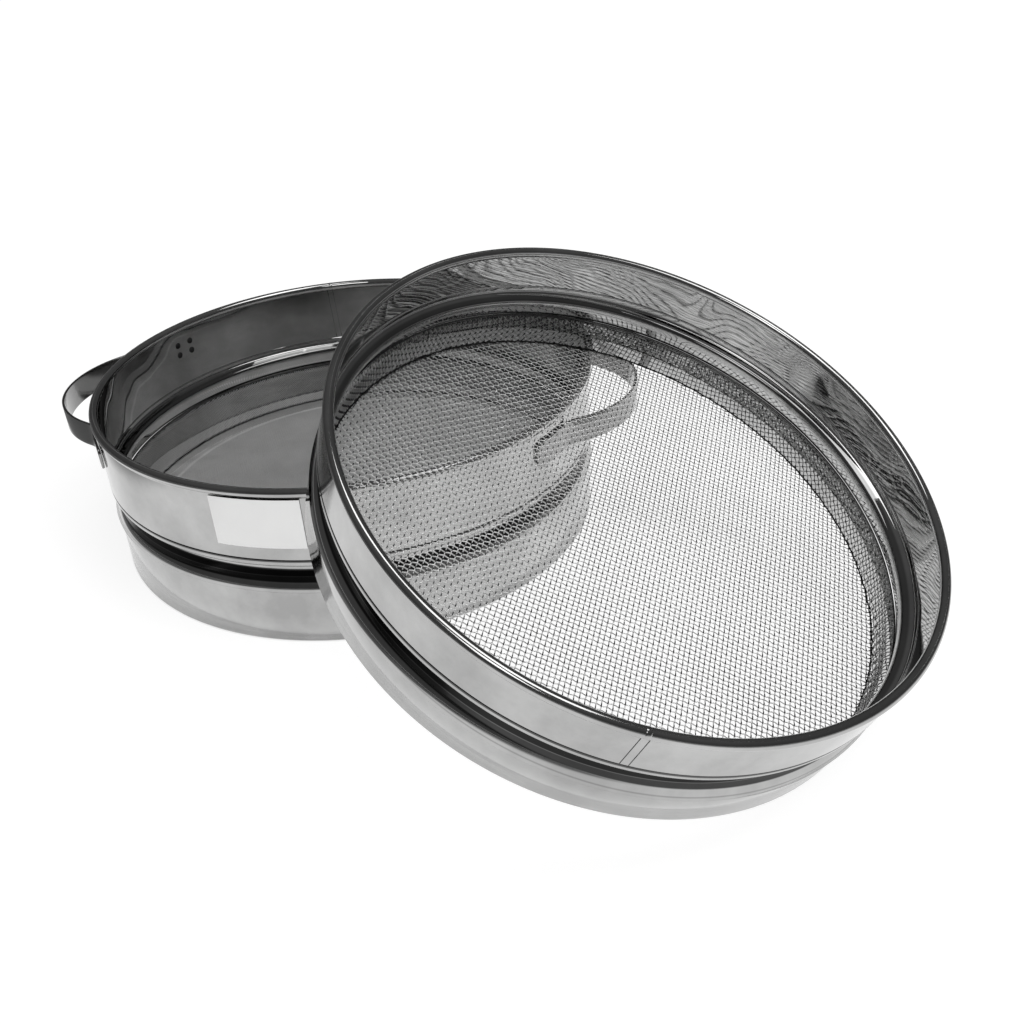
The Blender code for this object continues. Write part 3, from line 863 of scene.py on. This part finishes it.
add_sieve("fine", FINE_POSE, "fine_sieve", FINE_HEIGHT, FINE_CREASE)
add_sieve("coarse", COARSE_POSE, "coarse_sieve", COARSE_HEIGHT, COARSE_CREASE)
add_cloth(
    "coarse_cloth", COARSE_POSE, "coarse_sieve", "coarse_wire", COARSE_WIRES, COARSE_PITCH, COARSE_WIRE,
    3, 6, COARSE_TURN, COARSE_CREASE, COARSE_FLOOR, COARSE_WAVE, ("coarse_mesh_side", "coarse_mesh_floor"),
)
add_cloth(
    "fine_cloth", FINE_POSE, "fine_sieve", "fine_wire", FINE_WIRES, FINE_PITCH, FINE_WIRE,
    1, 4, FINE_TURN, FINE_CREASE, FINE_FLOOR, FINE_WAVE, ("fine_mesh_side", "fine_mesh_floor"),
)

for name, azimuth in HANDLE_AZIMUTHS.items():
    add_handle(name, azimuth)
    add_welds(name, azimuth)
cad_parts["label_blank"].data.materials.clear()
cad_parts["label_blank"].data.materials.append(FILM)
add_fold("coarse_fold", COARSE_POSE, "coarse_sieve", "coarse_wire", COARSE_FLOOR)
add_fold("fine_fold", FINE_POSE, "fine_sieve", "fine_wire", FINE_FLOOR)


# Studio: floor, room light, lamps and camera

CAMERA_HEADING, CAMERA_DOWN, CAMERA_ROLL = radians(40.21), radians(31.914), -0.0667
CAMERA_PLACE = Vector((-328.3, -378.1, 293.72)) * MM
CAMERA_SENSOR, CAMERA_LENS = 36.0, 38.645
LAMP_DISTANCE = 1.4
FLOOR_SIZE = 6.0
FLOOR_DROP = 0.2 * MM
FLOOR_GREY = 0.3

# The floor's glow by distance: from, to in metres, level from, level to
FLOOR_SEEN = (0.3, 1.1, 0.86, 1.0)
FLOOR_MIRRORED = (0.3, 0.55, 0.82, 0.08)

# What is mirrored of it fades out to the camera's left, and all of it is dimmed inside the fine skirt as a
# painted shadow
FADE_LEFT, FADE_END, FADE_LEVEL = 0.185, 0.225, 0.03
SKIRT_EDGE, SKIRT_SHADE = 1 * MM, 0.36

# Room by height: share of the way up, level
ROOM_LEVELS = ((0.0, 0.5), (0.02, 0.12), (0.08, 0.07), (0.4, 0.07), (1.0, 0.12))

# Lamps: azimuth, elevation, size, power, mirrored in the steel or not
LAMPS = {
    "key": (radians(275), radians(62), 1.1, 9.6, False),
    "window": (radians(290), radians(69), 0.66, 3.2, True),
    "ceiling": (radians(20), radians(85), 0.42, 1.3, True),
    "front": (radians(216), radians(48), 0.45, 1.6, True),
}


def add_floor():
    """A plain white table that takes the object's soft shadow, and a painted shadow inside the fine skirt.
    """
    size = FLOOR_SIZE
    corners = [(-size, -size, 0), (size, -size, 0), (size, size, 0), (-size, size, 0)]
    floor = bpy.data.objects.new("floor", new_mesh("floor", corners, [(0, 1, 2, 3)], smooth=False))
    bpy.context.scene.collection.objects.link(floor)
    floor.location.z = -FLOOR_DROP
    material, nodes, links, _ = new_material("floor_white")
    nodes.clear()
    matt = nodes.new("ShaderNodeBsdfDiffuse")
    matt.inputs["Color"].default_value = (FLOOR_GREY, FLOOR_GREY, FLOOR_GREY, 1.0)
    glow = nodes.new("ShaderNodeEmission")
    rays = nodes.new("ShaderNodeLightPath")
    place = nodes.new("ShaderNodeTexCoord").outputs["Object"]
    away = vector_node(nodes, links, "LENGTH", place)
    far = ramp_between(nodes, links, away, *FLOOR_SEEN)
    near = ramp_between(nodes, links, away, *FLOOR_MIRRORED)
    left = Vector((-sin(CAMERA_HEADING), cos(CAMERA_HEADING), 0.0))
    start = left.dot(fine_axis)
    leftward = vector_node(nodes, links, "DOT_PRODUCT", place, left)
    fade = ramp_between(nodes, links, leftward, start + FADE_LEFT, start + FADE_END, 1.0, FADE_LEVEL)
    near = math_node(nodes, links, "MULTIPLY", near, fade)
    seen = math_node(nodes, links, "MULTIPLY", far, rays.outputs["Is Camera Ray"])
    mirrored = math_node(nodes, links, "MULTIPLY", near, rays.outputs["Is Glossy Ray"])
    level = math_node(nodes, links, "ADD", seen, mirrored)
    # Painted shadow: the glow is dimmed inside the fine skirt.
    under = vector_node(nodes, links, "DISTANCE", place, fine_axis)
    skirt_painted_shadow = ramp_between(
        nodes, links, under, SKIRT_RADIUS - SKIRT_EDGE, SKIRT_RADIUS + SKIRT_EDGE, SKIRT_SHADE, 1.0
    )
    links.new(math_node(nodes, links, "MULTIPLY", level, skirt_painted_shadow), glow.inputs["Strength"])
    both = nodes.new("ShaderNodeAddShader")
    links.new(matt.outputs[0], both.inputs[0])
    links.new(glow.outputs[0], both.inputs[1])
    out = nodes.new("ShaderNodeOutputMaterial")
    links.new(both.outputs[0], out.inputs["Surface"])
    floor.data.materials.append(material)
    floor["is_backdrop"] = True


def add_world():
    """White behind everything for the camera; a darker room above the horizon for light and gloss."""
    world = bpy.data.worlds.new("studio")
    world.use_nodes = True
    bpy.context.scene.world = world
    nodes, links = world.node_tree.nodes, world.node_tree.links
    nodes.clear()
    place = nodes.new("ShaderNodeTexCoord")
    split = nodes.new("ShaderNodeSeparateXYZ")
    links.new(place.outputs["Generated"], split.inputs[0])
    ramp = nodes.new("ShaderNodeValToRGB")
    stops = ramp.color_ramp.elements
    for stop, (position, level) in zip(stops, (ROOM_LEVELS[0], ROOM_LEVELS[-1])):
        stop.position, stop.color = position, (level, level, level, 1)
    for position, level in ROOM_LEVELS[1:-1]:
        stops.new(position).color = (level, level, level, 1)
    links.new(split.outputs["Z"], ramp.inputs["Fac"])
    room = nodes.new("ShaderNodeBackground")
    links.new(ramp.outputs["Color"], room.inputs["Color"])
    white = nodes.new("ShaderNodeBackground")
    white.inputs["Color"].default_value = (1, 1, 1, 1)
    rays = nodes.new("ShaderNodeLightPath")
    pick = nodes.new("ShaderNodeMixShader")
    links.new(rays.outputs["Is Camera Ray"], pick.inputs["Fac"])
    links.new(room.outputs[0], pick.inputs[1])
    links.new(white.outputs[0], pick.inputs[2])
    out = nodes.new("ShaderNodeOutputWorld")
    links.new(pick.outputs[0], out.inputs["Surface"])


def add_softbox(name, azimuth, elevation, size, power, mirrored):
    """A square lamp that looks at the object; one that isn't mirrored leaves no glints."""
    lamp = bpy.data.lights.new(name, "AREA")
    lamp.shape = "RECTANGLE"
    lamp.size = lamp.size_y = size
    lamp.energy = power
    box = bpy.data.objects.new(name, lamp)
    box.visible_glossy = mirrored
    bpy.context.scene.collection.objects.link(box)
    way = Vector((cos(azimuth) * cos(elevation), sin(azimuth) * cos(elevation), sin(elevation)))
    box.location = way * LAMP_DISTANCE
    box.rotation_euler = (-way).to_track_quat("-Z", "Y").to_euler()


def add_camera():
    """The photograph's viewpoint, worked out from both rims."""
    camera = bpy.data.cameras.new("camera")
    camera.sensor_width = CAMERA_SENSOR
    camera.lens = CAMERA_LENS
    camera.clip_start = 0.01
    view = bpy.data.objects.new("camera", camera)
    bpy.context.scene.collection.objects.link(view)
    heading, down, roll = CAMERA_HEADING, CAMERA_DOWN, CAMERA_ROLL
    forward = Vector((cos(heading) * cos(down), sin(heading) * cos(down), -sin(down)))
    right = Vector((sin(heading), -cos(heading), 0.0))
    up = right.cross(forward)
    side = cos(roll) * right + sin(roll) * up
    top = cos(roll) * up - sin(roll) * right
    turn = Matrix((side, top, -forward)).transposed().to_4x4()
    view.matrix_world = Matrix.Translation(fine_axis + CAMERA_PLACE) @ turn
    bpy.context.scene.camera = view


add_floor()
add_world()
for name, lamp in LAMPS.items():
    add_softbox(name, *lamp)
add_camera()
bpy.context.scene.view_settings.view_transform = "Standard"

low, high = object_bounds()
